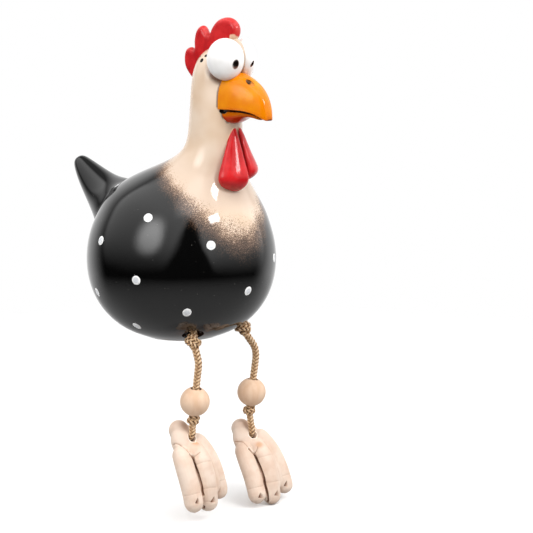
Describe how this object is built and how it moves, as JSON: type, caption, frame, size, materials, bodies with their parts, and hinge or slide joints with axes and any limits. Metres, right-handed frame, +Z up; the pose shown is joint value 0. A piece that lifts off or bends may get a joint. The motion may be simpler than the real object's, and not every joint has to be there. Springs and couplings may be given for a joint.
{
  "type": "chicken garden statue",
  "caption": "Glazed ceramic hen that sits on a shelf edge, with rope legs that dangle, wooden beads on the ropes and pale unglazed feet.",
  "frame": {"origin": "centre of the flat base that the hen sits on", "axes": "+Z up, -Y the way the beak points, +X to the hen's left"},
  "size_m": [0.128, 0.1733, 0.3288],
  "materials": {
    "speckled_glaze": "gloss black body, cream neck and head, sprayed speckle between them, white dots",
    "red_glaze": "gloss",
    "white_glaze": "gloss",
    "yellow_glaze": "gloss",
    "bisque": "matt, unglazed",
    "bead_wood": "plain sanded wood",
    "braided_rope": "braided cord, tan and gold"
  },
  "bodies": {
    "hen": {"body_shell": "speckled_glaze", "comb": "red_glaze", "right_eye": "white_glaze", "left_eye": "white_glaze", "upper_beak": "yellow_glaze", "lower_beak": "yellow_glaze", "right_wattle": "red_glaze", "left_wattle": "red_glaze", "rope_inside": "braided_rope"},
    "right_hip": {"right_hip_knot": "braided_rope"},
    "right_thigh": {"right_upper_rope": "braided_rope"},
    "right_bead": {"right_bead": "bead_wood"},
    "right_knee": {"right_knee_knot": "braided_rope"},
    "right_shin": {"right_lower_rope": "braided_rope"},
    "right_foot": {"right_foot": "bisque", "right_foot_knot": "braided_rope"},
    "left_hip": {"left_hip_knot": "braided_rope"},
    "left_thigh": {"left_upper_rope": "braided_rope"},
    "left_bead": {"left_bead": "bead_wood"},
    "left_knee": {"left_knee_knot": "braided_rope"},
    "left_shin": {"left_lower_rope": "braided_rope"},
    "left_foot": {"left_foot": "bisque", "left_foot_knot": "braided_rope"}
  },
  "joints": [
    {"name": "right_hip_swing", "type": "hinge", "parent": "hen", "child": "right_hip", "pos_m": [-0.026, -0.0316, 0.003], "axis": [-1, 0, 0], "range_deg": [-20, 60]},
    {"name": "right_hip_splay", "type": "hinge", "parent": "right_hip", "child": "right_thigh", "pos_m": [-0.026, -0.0316, 0.003], "axis": [0, 1, 0], "range_deg": [-10, 30]},
    {"name": "right_bead_slide", "type": "slide", "parent": "right_thigh", "child": "right_bead", "axis": [0.0065, -0.1305, 0.9914], "range_m": [0, 0.008]},
    {"name": "right_rope_twist", "type": "hinge", "parent": "right_thigh", "child": "right_knee", "pos_m": [-0.0262, -0.031, -0.05], "axis": [0.0065, -0.1305, 0.9914], "range_deg": [-30, 30]},
    {"name": "right_knee_swing", "type": "hinge", "parent": "right_knee", "child": "right_shin", "pos_m": [-0.02609, -0.03047, -0.05437], "axis": [-1, 0, 0], "range_deg": [-20, 30]},
    {"name": "right_ankle_pitch", "type": "hinge", "parent": "right_shin", "child": "right_foot", "pos_m": [-0.0259, -0.0295, -0.0623], "axis": [-1, 0, 0], "range_deg": [0, 45]},
    {"name": "left_hip_swing", "type": "hinge", "parent": "hen", "child": "left_hip", "pos_m": [0.026, -0.0316, 0.003], "axis": [-1, 0, 0], "range_deg": [-20, 60]},
    {"name": "left_hip_splay", "type": "hinge", "parent": "left_hip", "child": "left_thigh", "pos_m": [0.026, -0.0316, 0.003], "axis": [0, 1, 0], "range_deg": [-30, 10]},
    {"name": "left_bead_slide", "type": "slide", "parent": "left_thigh", "child": "left_bead", "axis": [0.1141, -0.0691, 0.9911], "range_m": [0, 0.008]},
    {"name": "left_rope_twist", "type": "hinge", "parent": "left_thigh", "child": "left_knee", "pos_m": [0.0284, -0.0352, -0.055], "axis": [0.1141, -0.0691, 0.9911], "range_deg": [-30, 30]},
    {"name": "left_knee_swing", "type": "hinge", "parent": "left_knee", "child": "left_shin", "pos_m": [0.02856, -0.03579, -0.05936], "axis": [-1, 0, 0], "range_deg": [-20, 30]},
    {"name": "left_ankle_pitch", "type": "hinge", "parent": "left_shin", "child": "left_foot", "pos_m": [0.029, -0.0375, -0.0719], "axis": [-1, 0, 0], "range_deg": [0, 45]}
  ]
}
